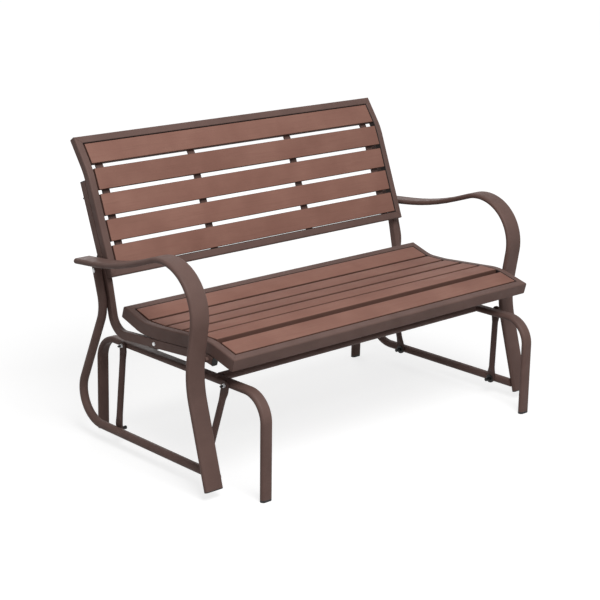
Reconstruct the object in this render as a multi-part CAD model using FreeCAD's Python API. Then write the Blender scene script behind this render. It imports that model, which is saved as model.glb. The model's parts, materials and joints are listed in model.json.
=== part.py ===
import FreeCAD, Part
import math
import os

# Glider bench: a bench of bent steel tube and slats that hangs from a standing base by four links.
# Millimetres, +Z up, +X across the bench, the bench faces -Y, the floor is z = 0.
# Places fore and aft are distances behind the seat's front edge, called "back" here.

# Seat and back panels
panel_width = 1169.0            # outside of the side rails
rail_face = 24.0                # width of every panel rail, seen from the front
rail_corner = 2.3               # easing of a panel rail's edges
tube_wall = 1.5                 # wall of all the steel tube
seat_rail_depth = 38.1
back_rail_depth = 25.4
seat_outline = [(0.0, 394.0), (110.5, 423.8), (337.0, 407.3), (405.5, 407.3), (488.4, 434.0)]
seat_bends = [180.0, 250.0, 120.0]
back_outline = [(541.1, 507.4), (648.9, 795.7), (712.2, 886.1)]
back_bends = [200.0]
slat_width = 63.0
slat_thickness = 16.0
slat_edge = 2.5                 # easing of a slat's edges
slat_end_gap = 1.0              # between a slat's end and the side rail
slat_rail_gap = 1.5             # between the end slats and the cross rails
slat_seat = 0.1                 # between a slat and the straps
seat_slat_count = 6
back_slat_count = 5
strap_width = 24.0              # steel straps that the slats are fixed to
strap_thickness = 6.0
strap_inner = 192.0             # middle of an inner strap, each side of the bench's middle
strap_outer_gap = 23.5          # between an outer strap and the side rail

# Support tube under the seat and behind the back, one each side
support_width = 19.0
support_depth = 25.4
support_corner = 2.3
support_nose = 1.5              # straight run in front of its first bend
support_gap = 0.3               # between it and the panel rails
support_heel = 545.0            # where its level run meets its upright
support_heel_bend = 60.0
support_kink_height = 495.0     # where the upright takes the slope of the back
support_kink_bend = 250.0
support_top = 760.0

# Armrest and front leg, one bent flat tube each side
arm_width = 60.0
arm_thickness = 16.0
arm_corner = 4.8
arm_gap = 9.0                   # between the panels' side and the armrest
arm_outline = [(632.0, 548.4), (436.7, 564.1), (57.3, 692.6), (122.2, 316.7), (42.8, 28.0)]
arm_bends = [940.0, 135.0, 280.0]
arm_end_ease = 3.0              # easing of the armrest's closed rear end

# Round tube that carries the armrest's rear end and runs along the floor side to the front leg
loop_diameter = 25.4
loop_outline = [(605.0, 548.0), (566.6, 411.8), (736.9, 52.5), (48.0, 52.5)]
loop_bends = [110.0, 90.0]
loop_bore = 21.8                # across the flats of the bore
loop_end_wall = 3.0             # welded end of the tube

# Cross tubes under the seat, between the support tubes
cross_tube_size = 25.4
cross_tube_corner = 2.0
cross_tube_places = [150.0, 349.0]
end_plate = 5.0                 # threaded plate welded in a cross tube's end

# Standing base: two arches and two flat cross tubes
base_width = 36.0               # across the bench
base_depth = 18.0
base_corner = 6.0
base_gap = 41.5                 # between the panels' side and an arch, for the links
base_height = 294.5             # middle of an arch's level run
base_rear_foot = 692.0
base_rear_top = 683.4
base_front_foot = -57.0
base_front_top = -59.7
base_bend = 74.0
base_cross_places = [150.0, 487.0]
foot_thickness = 6.0            # plastic under a base leg
stub_length = 95.0              # stub on the arch, inside the end of a base cross tube
stub_play = 0.4
stub_screw_places = [33.0, 72.0]

# Plastic end caps
cap_thickness = 3.0
cap_plug = 9.0
cap_fit = 0.2

# Links, one at each corner
pivot_front_top = 85.0
pivot_rear_top = 552.0
pivot_front_bottom = 128.0
pivot_rear_bottom = 530.0
pivot_diameter = 8.0
link_diameter = 19.0
head_diameter = 25.0
head_thickness = 6.4
head_length = 17.0              # flat part of a link's end, from its pivot
flare_length = 28.0             # where the flat end turns into round tube
top_bush_diameter = 12.0
bottom_bush_diameter = 20.0
running_play = 0.05             # radial, between a pivot and its bush
bush_fit = 0.05
open_pivot_play = 3.4           # radial, at the rear lower pivots
side_play = 0.3                 # between a link's end and what holds it sideways
stud_root = 4.0                 # how far a stud's coped root laps over the loop tube
stud_tip = 4.0                  # stud beyond its nut
flange_diameter = 26.0
flange_thickness = 2.5
knob_diameter = 10.0
knob_height = 7.0

# Pivots and their bores are round, other round pieces have many flat sides
tube_sides = 16                 # loop tubes, links and flanges
bush_sides = 12                 # outsides of the bushes, knobs and bores of the nuts

# Screws and bolts
bolt_diameter = 6.0
bolt_head_flats = 10.0
bolt_head_height = 4.0
bolt_hole_play = 0.15
shank_sides = 6
nut_flats = 13.0
nut_height = 5.0
spacer_flats = 13.0
back_bolt_heights = [560.0, 719.0]
arm_bolt_place = (595.0, 521.0)
leg_bolt_inset = 20.5           # from the support tube's front end
screw_diameter = 4.0
screw_head_flats = 7.0
screw_head_height = 2.6


# Places worked out from the sizes above
half_panel = panel_width / 2
strap_outer = half_panel - rail_face - strap_outer_gap - strap_width / 2
arm_inside = half_panel + arm_gap
arm_middle = arm_inside + arm_width / 2
base_outside = half_panel - base_gap
base_middle = base_outside - base_width / 2
base_inside = base_outside - base_width
across = FreeCAD.Vector(1, 0, 0)
fore = FreeCAD.Vector(0, 1, 0)
up = FreeCAD.Vector(0, 0, 1)
sides = {"left": -1, "right": 1}
parts = {}


def turn_between(first, corner, last):
    """Signed turn of a path at a corner, in radians, positive to the left."""
    before = math.atan2(corner[1] - first[1], corner[0] - first[0])
    after = math.atan2(last[1] - corner[1], last[0] - corner[0])
    return math.atan2(math.sin(after - before), math.cos(after - before))


def unit(start, end):
    length = math.hypot(end[0] - start[0], end[1] - start[1])
    return (end[0] - start[0]) / length, (end[1] - start[1]) / length


def at_back(start, end, back):
    """The point of a line through two points, at a distance behind the front edge."""
    share = (back - start[0]) / (end[0] - start[0])
    return back, start[1] + share * (end[1] - start[1])


def at_height(start, end, height):
    share = (height - start[1]) / (end[1] - start[1])
    return start[0] + share * (end[0] - start[0]), height


def shifted(start, end, distance):
    """A line moved to the left of its own direction."""
    along = unit(start, end)
    step = (-along[1] * distance, along[0] * distance)
    return (start[0] + step[0], start[1] + step[1]), (end[0] + step[0], end[1] + step[1])


def meeting(first, second):
    """Where two lines, each given by two points, cross."""
    (ax, ay), (bx, by) = first
    (cx, cy), (dx, dy) = second
    spread = (bx - ax) * (dy - cy) - (by - ay) * (dx - cx)
    share = ((cx - ax) * (dy - cy) - (cy - ay) * (dx - cx)) / spread
    return ax + share * (bx - ax), ay + share * (by - ay)


def offset(outline, bends, distance):
    """A path beside another one, to its left, with its bends' centres kept."""
    lines = [shifted(a, b, distance) for a, b in zip(outline, outline[1:])]
    corners = [meeting(one, other) for one, other in zip(lines, lines[1:])]
    turns = [turn_between(*outline[i:i + 3]) for i in range(len(bends))]
    radii = [bend - distance * math.copysign(1, turn) for bend, turn in zip(bends, turns)]
    return [lines[0][0]] + corners + [lines[-1][1]], radii


def ahead_of_bend(before, corner, after, bend, length):
    """The point of a path's run that lies a length in front of its bend."""
    reach = bend * math.tan(abs(turn_between(before, corner, after)) / 2) + length
    along = unit(corner, before)
    return corner[0] + along[0] * reach, corner[1] + along[1] * reach


# The origin lies under the middle of the whole object, between the front feet and the top rail
back_rear_edge = offset(back_outline, back_bends, -back_rail_depth)[0][-1][0]
front_most = base_front_top - base_depth / 2
front_edge_y = -(front_most + back_rear_edge) / 2


def place(x, back, height):
    return FreeCAD.Vector(x, back + front_edge_y, height)


def bent_path(outline, bends, x):
    """Straight runs joined by tangent arcs, upright and fore-and-aft, at one x."""
    edges = []
    start = place(x, *outline[0])
    for i, bend in enumerate(bends):
        before, corner, after = outline[i:i + 3]
        turn = turn_between(before, corner, after)
        reach = bend * math.tan(abs(turn) / 2)
        back_in, height_in = unit(corner, before)
        back_out, height_out = unit(corner, after)
        arc_start = place(x, corner[0] + back_in * reach, corner[1] + height_in * reach)
        arc_end = place(x, corner[0] + back_out * reach, corner[1] + height_out * reach)
        middle = FreeCAD.Vector(0, back_in + back_out, height_in + height_out).normalize()
        sagitta = bend / math.cos(turn / 2) - bend
        edges.append(Part.LineSegment(start, arc_start).toShape())
        edges.append(Part.Arc(arc_start, place(x, *corner) + middle * sagitta, arc_end).toShape())
        start = arc_end
    edges.append(Part.LineSegment(start, place(x, *outline[-1])).toShape())
    return Part.Wire(edges)


def point_along(path, distance):
    edges = path.OrderedEdges
    while distance > edges[0].Length and len(edges) > 1:
        distance -= edges[0].Length
        edges = edges[1:]
    return edges[0].valueAt(edges[0].getParameterByLength(distance))


def plain_section(middle, side, other, width, depth):
    corners = [(1, 1), (-1, 1), (-1, -1), (1, -1), (1, 1)]
    return Part.makePolygon([middle + side * (a * width / 2) + other * (b * depth / 2)
                             for a, b in corners])


def eased_section(middle, side, other, width, depth, ease):
    """A rectangle with eased corners about a point, in the plane of two directions."""
    half_w, half_d = width / 2, depth / 2
    quarter = [(half_w, half_d - ease), (half_w - ease, half_d)]
    around = quarter + [(-w, d) for w, d in reversed(quarter)]
    around = around + [(-w, -d) for w, d in around]
    return Part.makePolygon([middle + side * w + other * d for w, d in around + around[:1]])


def inset_section(middle, side, other, width, depth, ease, inset):
    """The eased section drawn in by the same amount all round, with plain corners where they fit."""
    width, depth = width - 2 * inset, depth - 2 * inset
    if ease < 1.6 * inset:
        return plain_section(middle, side, other, width, depth)
    return eased_section(middle, side, other, width, depth, ease - inset * (2 - math.sqrt(2)))


def holed_face(outer, inner):
    return Part.Face(outer).cut(Part.Face(inner)).Faces[0]


def tube_face(middle, side, other, width, depth, ease, wall):
    outer = eased_section(middle, side, other, width, depth, ease)
    return holed_face(outer, inset_section(middle, side, other, width, depth, ease, wall))


def regular_section(middle, side, other, sides_count, flats):
    radius = flats / 2 / math.cos(math.pi / sides_count)
    points = []
    for i in range(sides_count + 1):
        angle = 2 * math.pi * (i + 0.5) / sides_count
        points.append(middle + side * (radius * math.cos(angle)) + other * (radius * math.sin(angle)))
    return Part.makePolygon(points)


def sweep(outline, bends, x, face_at):
    """A solid along a path: each straight run is an extrusion and each bend a turned piece."""
    solids = []
    start = place(x, *outline[0])
    for i, bend in enumerate(bends):
        before, corner, after = outline[i:i + 3]
        turn = turn_between(before, corner, after)
        reach = bend * math.tan(abs(turn) / 2)
        heading = FreeCAD.Vector(0, *unit(before, corner))
        heading_out = FreeCAD.Vector(0, *unit(corner, after))
        arc_start = place(x, *corner) - heading * reach
        solids.append(face_at(start, across, across.cross(heading)).extrude(arc_start - start))
        centre = arc_start + across.cross(heading) * math.copysign(bend, turn)
        face = face_at(arc_start, across, across.cross(heading))
        axis = across * math.copysign(1, turn)
        solids.append(face.revolve(centre, axis, math.degrees(abs(turn))))
        start = place(x, *corner) + heading_out * reach
    last = FreeCAD.Vector(0, *unit(outline[-2], outline[-1]))
    run = place(x, *outline[-1]) - start
    solids.append(face_at(start, across, across.cross(last)).extrude(run))
    return solids[0].fuse(solids[1:]).removeSplitter()


def start_of(path):
    edge = path.OrderedEdges[0]
    return edge.valueAt(edge.FirstParameter), edge.tangentAt(edge.FirstParameter)


def end_of(path):
    edge = path.OrderedEdges[-1]
    return edge.valueAt(edge.LastParameter), edge.tangentAt(edge.LastParameter)


def flat_tube(outline, bends, x, width, depth, ease, wall):
    """A tube of flat-sided section along a path, open at both ends."""
    def face_at(middle, side, other):
        return tube_face(middle, side, other, width, depth, ease, wall)
    return sweep(outline, bends, x, face_at)


def flat_bar(outline, bends, x, width, depth):
    def face_at(middle, side, other):
        return Part.Face(plain_section(middle, side, other, width, depth))
    return sweep(outline, bends, x, face_at)


def end_cap(end, outward, width, depth, radius, wall, lip):
    """A plastic plug in a tube's end, with a lip of the tube's own outline."""
    other = outward.cross(across)
    cover = Part.Face(eased_section(end, across, other, width, depth, radius))
    plug = Part.Face(inset_section(end, across, other, width, depth, radius, wall + cap_fit))
    return cover.extrude(outward * lip).fuse(plug.extrude(outward * -cap_plug)).removeSplitter()


def prism(start, end, sides_count, flats):
    """A many-sided bar between two points, as for a nut, a bolt's head or a small shank."""
    line = end - start
    heading = line * (1 / line.Length)
    side = heading.cross(across) if abs(heading.x) < 0.5 else heading.cross(fore)
    side = side.normalize()
    section = regular_section(start, side, heading.cross(side), sides_count, flats)
    return Part.Face(section).extrude(line)


def rod(diameter, start, end, sides_count):
    """A bar whose corners lie on its diameter, so it turns freely in a bore."""
    return prism(start, end, sides_count, diameter * math.cos(math.pi / sides_count))


def pin(diameter, start, end):
    line = end - start
    return Part.makeCylinder(diameter / 2, line.Length, start, line)


def hexagon_bolt(head_base, inward, length, diameter, head_flats, head_height):
    shank = prism(head_base, head_base + inward * length, shank_sides, diameter)
    head = prism(head_base, head_base - inward * head_height, 6, head_flats)
    return shank.fuse(head).removeSplitter()


def bush(start, end, outside, bore):
    return prism(start, end, bush_sides, outside).cut(pin(bore, start, end))


def group(shapes):
    return Part.makeCompound([solid for shape in shapes for solid in shape.Solids])


def mitre(corner, heading, sign, keep_side):
    """The wedge beyond a 45 degree joint at a panel corner: side rail's or cross rail's waste."""
    inward_x = FreeCAD.Vector(-sign, 0, 0)
    inward_t = heading * -1
    reach = 4 * rail_face
    if keep_side:
        flat = [(-reach, -reach), (reach, -reach), (reach, reach)]
    else:
        flat = [(-reach, -reach), (-reach, reach), (reach, reach)]
    points = [corner + inward_x * u + inward_t * v for u, v in flat + flat[:1]]
    depth = across.cross(heading)
    wedge = Part.Face(Part.makePolygon([p - depth * reach for p in points]))
    return wedge.extrude(depth * (2 * reach))


# Panels: two side rails and two cross rails with mitred corners, slats between them, straps behind
def middle_of(outline):
    start, end = outline[0], outline[-1]
    return FreeCAD.Vector(0, (start[0] + end[0]) / 2, (start[1] + end[1]) / 2)


def panel(name, outline, bends, rail_depth, slat_count, end_names):
    surface = bent_path(outline, bends, 0)
    start, start_heading = start_of(surface)
    end, end_heading = end_of(surface)
    ends = [(start, start_heading * -1), (end, end_heading)]
    middle_outline, middle_bends = offset(outline, bends, -rail_depth / 2)
    behind = middle_of(middle_outline) - middle_of(outline)
    for side, sign in sides.items():
        rail_x = sign * (half_panel - rail_face / 2)
        rail = flat_tube(middle_outline, middle_bends, rail_x, *size_of(rail_depth))
        for corner, outward in ends:
            rail = rail.cut(mitre(corner + across * (sign * half_panel), outward, sign, True))
        parts[name + "_side_rail_" + side] = rail
    for (corner, outward), end_name in zip(ends, end_names):
        into = outward.cross(across)
        into = into if into.dot(behind) > 0 else into * -1
        middle = corner - outward * (rail_face / 2) + into * (rail_depth / 2)
        section = tube_face(middle - across * half_panel, outward, into, *size_of(rail_depth))
        rail = section.extrude(across * panel_width)
        for sign in sides.values():
            rail = rail.cut(mitre(corner + across * (sign * half_panel), outward, sign, False))
        parts[name + "_" + end_name + "_rail"] = rail
    add_slats(name, outline, bends, slat_count, behind)
    add_straps(name, outline, bends)


def size_of(rail_depth):
    return rail_face, rail_depth, rail_corner, tube_wall


def add_slats(name, outline, bends, slat_count, behind):
    """Flat slats that lie on the straps: over a crest they touch its top, over a dip their edges."""
    bed = bent_path(*offset(outline, bends, -slat_thickness), 0)
    edge = rail_face + slat_rail_gap
    room = bed.Length - 2 * edge
    gap = (room - slat_count * slat_width) / (slat_count - 1)
    half_slat = half_panel - rail_face - slat_end_gap
    for i in range(slat_count):
        first = edge + i * (slat_width + gap)
        start = point_along(bed, first)
        end = point_along(bed, first + slat_width)
        along = (end - start).normalize()
        into = along.cross(across)
        into = into if into.dot(behind) > 0 else into * -1
        samples = [point_along(bed, first + slat_width * step / 8) for step in range(9)]
        crest = max((start - point).dot(into) for point in samples)
        lift = crest + slat_seat + slat_thickness / 2
        middle = (start + end) * 0.5 - into * lift - across * half_slat
        outer = eased_section(middle, along, into, slat_width, slat_thickness, slat_edge)
        parts["%s_slat_%d" % (name, i + 1)] = Part.Face(outer).extrude(across * (2 * half_slat))


def add_straps(name, outline, bends):
    """Straps that touch the slats' hidden faces and end on the cross rails."""
    line, strap_bends = offset(outline, bends, -slat_thickness - strap_thickness / 2)
    step = unit(line[0], line[1])
    line[0] = (line[0][0] + step[0] * rail_face, line[0][1] + step[1] * rail_face)
    step = unit(line[-1], line[-2])
    line[-1] = (line[-1][0] + step[0] * rail_face, line[-1][1] + step[1] * rail_face)
    places = [sign * middle for middle in (strap_inner, strap_outer) for sign in sides.values()]
    parts[name + "_straps"] = group([flat_bar(line, strap_bends, x, strap_width, strap_thickness)
                                     for x in places])


panel("seat", seat_outline, seat_bends, seat_rail_depth, seat_slat_count, ["front", "rear"])
panel("back", back_outline, back_bends, back_rail_depth, back_slat_count, ["bottom", "top"])

# Support tubes: bent with the seat rail at the front, level under it, then up behind the back rail
under_depth = seat_rail_depth + support_gap + support_depth / 2
behind_depth = back_rail_depth + support_gap + support_depth / 2
under_front, under_bends = offset(seat_outline[:3], seat_bends[:1], -under_depth)
under_seat = shifted(seat_outline[1], seat_outline[2], -under_depth)
behind_back = shifted(back_outline[0], back_outline[1], -behind_depth)
support_outline = [
    ahead_of_bend(*under_front, under_bends[0], support_nose),
    under_front[1],
    at_back(*under_seat, support_heel),
    at_height(*behind_back, support_kink_height),
    at_height(*behind_back, support_top),
]
support_bends = under_bends + [support_heel_bend, support_kink_bend]
support_middle = half_panel - support_width / 2
cross_tube_ends = half_panel - support_width
loop_middle = half_panel + loop_diameter / 2

support_caps = []
for side, sign in sides.items():
    x = sign * support_middle
    size = (support_width, support_depth, support_corner, tube_wall)
    parts["support_tube_" + side] = flat_tube(support_outline, support_bends, x, *size)
    path = bent_path(support_outline, support_bends, x)
    front, front_heading = start_of(path)
    top, top_heading = end_of(path)
    support_caps.append(end_cap(front, front_heading * -1, *size, cap_thickness))
    support_caps.append(end_cap(top, top_heading, *size, cap_thickness))
parts["support_tube_caps"] = group(support_caps)

# Cross tubes under the seat, with a threaded plate welded in each end
seat_fall = FreeCAD.Vector(0, *unit(*under_seat))
seat_down = seat_fall.cross(across)
for name, back in zip(["front", "rear"], cross_tube_places):
    left_end = place(-cross_tube_ends, *at_back(*under_seat, back))
    size = cross_tube_size
    outer = eased_section(left_end, seat_fall, seat_down, size, size, cross_tube_corner)
    bore_start = left_end + across * end_plate
    bore_size = size - 2 * tube_wall
    bore = Part.Face(plain_section(bore_start, seat_fall, seat_down, bore_size, bore_size))
    hollow = bore.extrude(across * (2 * cross_tube_ends - 2 * end_plate))
    parts["seat_cross_tube_" + name] = Part.Face(outer).extrude(across * (2 * cross_tube_ends)).cut(hollow)

# Armrests: the rear end is closed, the leg's foot has a plastic cap
for side, sign in sides.items():
    x = sign * arm_middle
    size = (arm_width, arm_thickness, arm_corner, tube_wall)
    path = bent_path(arm_outline, arm_bends, x)
    rear, heading = start_of(path)
    end_section = eased_section(rear, across, heading.cross(across), *size[:3])
    back_section = eased_section(rear - heading * arm_end_ease, across, heading.cross(across),
                                 arm_width - 2 * arm_end_ease, arm_thickness - 2 * arm_end_ease,
                                 arm_corner - arm_end_ease)
    closure = Part.makeLoft([end_section, back_section], True, True)
    tube = flat_tube(arm_outline, arm_bends, x, *size)
    parts["arm_tube_" + side] = tube.fuse(closure).removeSplitter()
    foot, down = end_of(path)
    parts["leg_cap_" + side] = end_cap(foot, down, *size, cap_thickness)

# Loop tubes: ends cut to the armrest's underside and to the leg's rear face, and closed


def round_face(middle, side, other):
    flats = loop_diameter * math.cos(math.pi / tube_sides)
    return Part.Face(regular_section(middle, side, other, tube_sides, flats))


def bore_face(middle, side, other):
    """The closed tube's bore, eight-sided and out of sight."""
    return Part.Face(regular_section(middle, side, other, 8, loop_bore))


for side, sign in sides.items():
    x = sign * loop_middle
    wide = 2 * arm_width
    arm_block = flat_bar(arm_outline, arm_bends, x, wide, arm_thickness)
    stop_block = flat_bar(arm_outline, arm_bends, x, wide, arm_thickness + 2 * loop_end_wall)
    body = sweep(loop_outline, loop_bends, x, round_face).cut(arm_block)
    body = max(body.Solids, key=lambda solid: solid.Volume)
    bore = sweep(loop_outline, loop_bends, x, bore_face).cut(stop_block)
    bore = max(bore.Solids, key=lambda solid: solid.Volume)
    parts["loop_tube_" + side] = body.cut(bore)

# Standing base: arches, plastic feet and flat cross tubes on stubs
arch_outline = [
    (base_rear_foot, foot_thickness),
    (base_rear_top, base_height),
    (base_front_top, base_height),
    (base_front_foot, foot_thickness),
]
base_size = (base_width, base_depth, base_corner, tube_wall)
floor = Part.makeBox(4 * panel_width, 4 * panel_width, base_depth,
                     FreeCAD.Vector(-2 * panel_width, -2 * panel_width, -base_depth))
for side, sign in sides.items():
    x = sign * base_middle
    arch_bends = [base_bend, base_bend]
    parts["base_frame_" + side] = flat_tube(arch_outline, arch_bends, x, *base_size)
    path = bent_path(arch_outline, arch_bends, x)
    rear, rear_rise = start_of(path)
    front, front_fall = end_of(path)
    for name, end, outward in (("rear", rear, rear_rise * -1), ("front", front, front_fall)):
        cap = end_cap(end, outward, *base_size, foot_thickness + base_corner / 4)
        parts["foot_cap_%s_%s" % (name, side)] = cap.cut(floor)

stub_bolts = []
stubs = []
stub_inset = tube_wall + stub_play
for name, back in zip(["front", "rear"], base_cross_places):
    left_end = place(-base_inside, back, base_height)
    tube = tube_face(left_end, fore, up, *base_size).extrude(across * (2 * base_inside))
    for sign in sides.values():
        inward = across * -sign
        root = place(sign * base_inside, back, base_height)
        outer = inset_section(root, fore, up, *base_size[:3], stub_inset)
        inner = inset_section(root, fore, up, *base_size[:3], stub_inset + tube_wall)
        stub = holed_face(outer, inner).extrude(inward * stub_length)
        for inset in stub_screw_places:
            head_base = root + inward * inset - up * (base_depth / 2)
            tip = head_base + up * (base_depth / 3)
            hole = prism(head_base - up, tip, shank_sides, screw_diameter + 2 * bolt_hole_play)
            tube = tube.cut(hole)
            stub = stub.cut(hole)
            size = (screw_diameter, screw_head_flats, screw_head_height)
            stub_bolts.append(hexagon_bolt(head_base, up, base_depth / 3, *size))
        stubs.append(stub)
    parts["base_cross_tube_" + name] = tube
parts["base_cross_stubs"] = group(stubs)
parts["base_cross_screws"] = group(stub_bolts)

# Links: round tube pressed flat at both ends, with a round head and a bush at each pivot
top_head_x = base_outside + side_play + head_thickness / 2
bottom_head_x = half_panel - side_play * 2 - head_thickness / 2
loop_height = loop_outline[-1][1]
corners = {
    "front": (pivot_front_top, pivot_front_bottom),
    "rear": (pivot_rear_top, pivot_rear_bottom),
}


def hanging_link(upper, lower):
    drop = FreeCAD.Vector(0, lower.y - upper.y, lower.z - upper.z)
    length = drop.Length
    along = drop * (1 / length)
    beside = along.cross(across)
    top = upper + along * head_length
    bottom = lower - along * head_length
    shank = rod(link_diameter, top, bottom, tube_sides)
    for pivot, end, heading in ((upper, top, along), (lower, bottom, along * -1)):
        shank = shank.cut(pressing(end, heading, bottom - top, beside))
        face = pivot - across * (head_thickness / 2)
        disc = rod(head_diameter, face, face + across * head_thickness, tube_sides)
        shank = shank.fuse([disc, tongue(pivot, end, heading, beside)])
    return shank.removeSplitter()


def pressing(end, heading, axis, beside):
    """What the press takes off a round tube's end: two wedges that leave a flat tail."""
    lean = axis.x / axis.dot(heading) if abs(axis.dot(heading)) > 0 else 0
    wedges = []
    for face in (1, -1):
        thin = face * head_thickness / 2
        thick = face * link_diameter / 2
        far = face * link_diameter
        tip = end - heading * link_diameter
        root = end + heading * flare_length
        corners_of_wedge = [
            tip + across * (thin - lean * link_diameter),
            end + across * thin,
            root + across * (thick + lean * flare_length),
            root + across * far,
            tip + across * far,
        ]
        corners_of_wedge.append(corners_of_wedge[0])
        wedge = Part.Face(Part.makePolygon([p - beside * link_diameter for p in corners_of_wedge]))
        wedges.append(wedge.extrude(beside * (2 * link_diameter)))
    return Part.makeCompound(wedges)


def tongue(pivot, end, heading, beside):
    """The flat between a link's round head and its tube, as thick as the head."""
    wide, narrow = head_diameter / 2, link_diameter / 2
    root = end + heading * (flare_length / 4)
    outline = [pivot + beside * wide, root + beside * narrow, root - beside * narrow,
               pivot - beside * wide, pivot + beside * wide]
    flat = Part.Face(Part.makePolygon([p - across * p.x + across * (pivot.x - head_thickness / 2)
                                       for p in outline]))
    return flat.extrude(across * head_thickness)


def through(pivot, diameter):
    return prism(pivot - across * head_thickness, pivot + across * head_thickness, bush_sides, diameter)


top_studs = []
top_nuts = []
bottom_studs = []
bottom_caps = []
for side, sign in sides.items():
    outward = across * sign
    inward = across * -sign
    for corner, (top_back, bottom_back) in corners.items():
        upper = place(sign * top_head_x, top_back, base_height)
        lower = place(sign * bottom_head_x, bottom_back, loop_height)
        link = hanging_link(upper, lower)
        link = link.cut(through(upper, top_bush_diameter + 2 * bush_fit))
        link = link.cut(through(lower, bottom_bush_diameter + 2 * bush_fit))
        parts["%s_%s_link" % (corner, side)] = link
        bore = pivot_diameter + 2 * running_play
        wide_bore = pivot_diameter + 2 * open_pivot_play
        lower_bore = bore if corner == "front" else wide_bore
        half_head = across * (head_thickness / 2)
        parts["%s_%s_link_bushes" % (corner, side)] = group([
            bush(upper - half_head, upper + half_head, top_bush_diameter, bore),
            bush(lower - half_head, lower + half_head, bottom_bush_diameter, lower_bore),
        ])

        # Upper pivot: stud welded on the arch, nut outside
        root = place(sign * base_outside, top_back, base_height)
        nut_face = upper + outward * (head_thickness / 2 + side_play)
        stud_end = nut_face + outward * (nut_height + stud_tip)
        top_studs.append(pin(pivot_diameter, root, stud_end))
        nut = prism(nut_face, nut_face + outward * nut_height, 6, nut_flats)
        hole = prism(nut_face, nut_face + outward * nut_height, bush_sides, bore)
        top_nuts.append(nut.cut(hole))

        # Lower pivot: stud welded on the loop tube, cap nut with a broad flange inside
        cap_face = lower + inward * (head_thickness / 2 + side_play)
        rail_start = place(sign * loop_middle, bottom_back - loop_diameter, loop_height)
        rail = rod(loop_diameter, rail_start, rail_start + fore * (2 * loop_diameter), tube_sides)
        stud_start = place(sign * (half_panel + stud_root), bottom_back, loop_height)
        bottom_studs.append(pin(pivot_diameter, cap_face, stud_start).cut(rail))
        flange = rod(flange_diameter, cap_face, cap_face + inward * flange_thickness, tube_sides)
        knob_end = cap_face + inward * (flange_thickness + knob_height)
        knob = rod(knob_diameter, cap_face, knob_end, bush_sides)
        bottom_caps.append(flange.fuse(knob).removeSplitter())

parts["top_pivot_studs"] = group(top_studs)
parts["top_pivot_nuts"] = group(top_nuts)
parts["bottom_pivot_studs"] = group(bottom_studs)
parts["bottom_pivot_caps"] = group(bottom_caps)

# Bolts of the bench: cross tubes, back rails, armrests
bolt_hole = bolt_diameter + 2 * bolt_hole_play
frame_bolts = []
frame_nuts = []
leg_spacers = []


def drill(name, start, end):
    parts[name] = parts[name].cut(prism(start, end, shank_sides, bolt_hole))


def add_bolt(head_base, inward, length):
    size = (bolt_diameter, bolt_head_flats, bolt_head_height)
    frame_bolts.append(hexagon_bolt(head_base, inward, length, *size))


for side, sign in sides.items():
    outward = across * sign
    inward = across * -sign
    support = "support_tube_" + side
    for name, back in zip(["front", "rear"], cross_tube_places):
        head_base = place(sign * half_panel, *at_back(*under_seat, back))
        reach = support_width + end_plate
        drill(support, head_base + outward, head_base + inward * reach)
        drill("seat_cross_tube_" + name, head_base, head_base + inward * (reach + 1))
        add_bolt(head_base, inward, reach + bolt_head_height)

    rise = FreeCAD.Vector(0, *unit(*behind_back))
    rearward = across.cross(rise)
    rearward = rearward if rearward.y > 0 else rearward * -1
    for height in back_bolt_heights:
        middle = place(sign * support_middle, *at_height(*behind_back, height))
        head_base = middle + rearward * (support_depth / 2)
        reach = support_depth + 2 * bolt_diameter
        drill(support, head_base + rearward, head_base - rearward * reach)
        drill("back_side_rail_" + side, head_base, head_base - rearward * reach)
        add_bolt(head_base, rearward * -1, reach)

    head_base = place(sign * (half_panel + loop_diameter), *arm_bolt_place)
    reach = loop_diameter + support_width
    nut_face = head_base + inward * reach
    drill("loop_tube_" + side, head_base + outward, nut_face)
    drill(support, head_base, nut_face + inward)
    add_bolt(head_base, inward, reach + nut_height)
    nut = prism(nut_face, nut_face + inward * nut_height, 6, nut_flats)
    shank = prism(nut_face, nut_face + inward * nut_height, shank_sides, bolt_hole)
    frame_nuts.append(nut.cut(shank))

    leg_place = point_along(bent_path(support_outline, support_bends, 0), leg_bolt_inset)
    head_base = leg_place + outward * cross_tube_ends
    spacer_start = leg_place + outward * half_panel
    leg_face = leg_place + outward * arm_inside
    drill(support, head_base + inward, leg_face)
    drill("arm_tube_" + side, spacer_start, leg_face + outward * (arm_corner + tube_wall))
    add_bolt(head_base, outward, (leg_face - head_base).Length + arm_corner)
    spacer = prism(spacer_start, leg_face, 6, spacer_flats)
    leg_spacers.append(spacer.cut(prism(spacer_start, leg_face, shank_sides, bolt_hole)))

parts["frame_bolts"] = group(frame_bolts)
parts["frame_nuts"] = group(frame_nuts)
parts["leg_spacers"] = group(leg_spacers)

os.makedirs("parts", exist_ok=True)
for name, shape in parts.items():
    shape.exportStep("parts/%s.step" % name)
print(len(parts), "nodes,", sum(len(shape.Solids) for shape in parts.values()), "solids")
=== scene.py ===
import json
import math

import bmesh
import bpy
import numpy
from mathutils import Matrix, Vector


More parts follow.
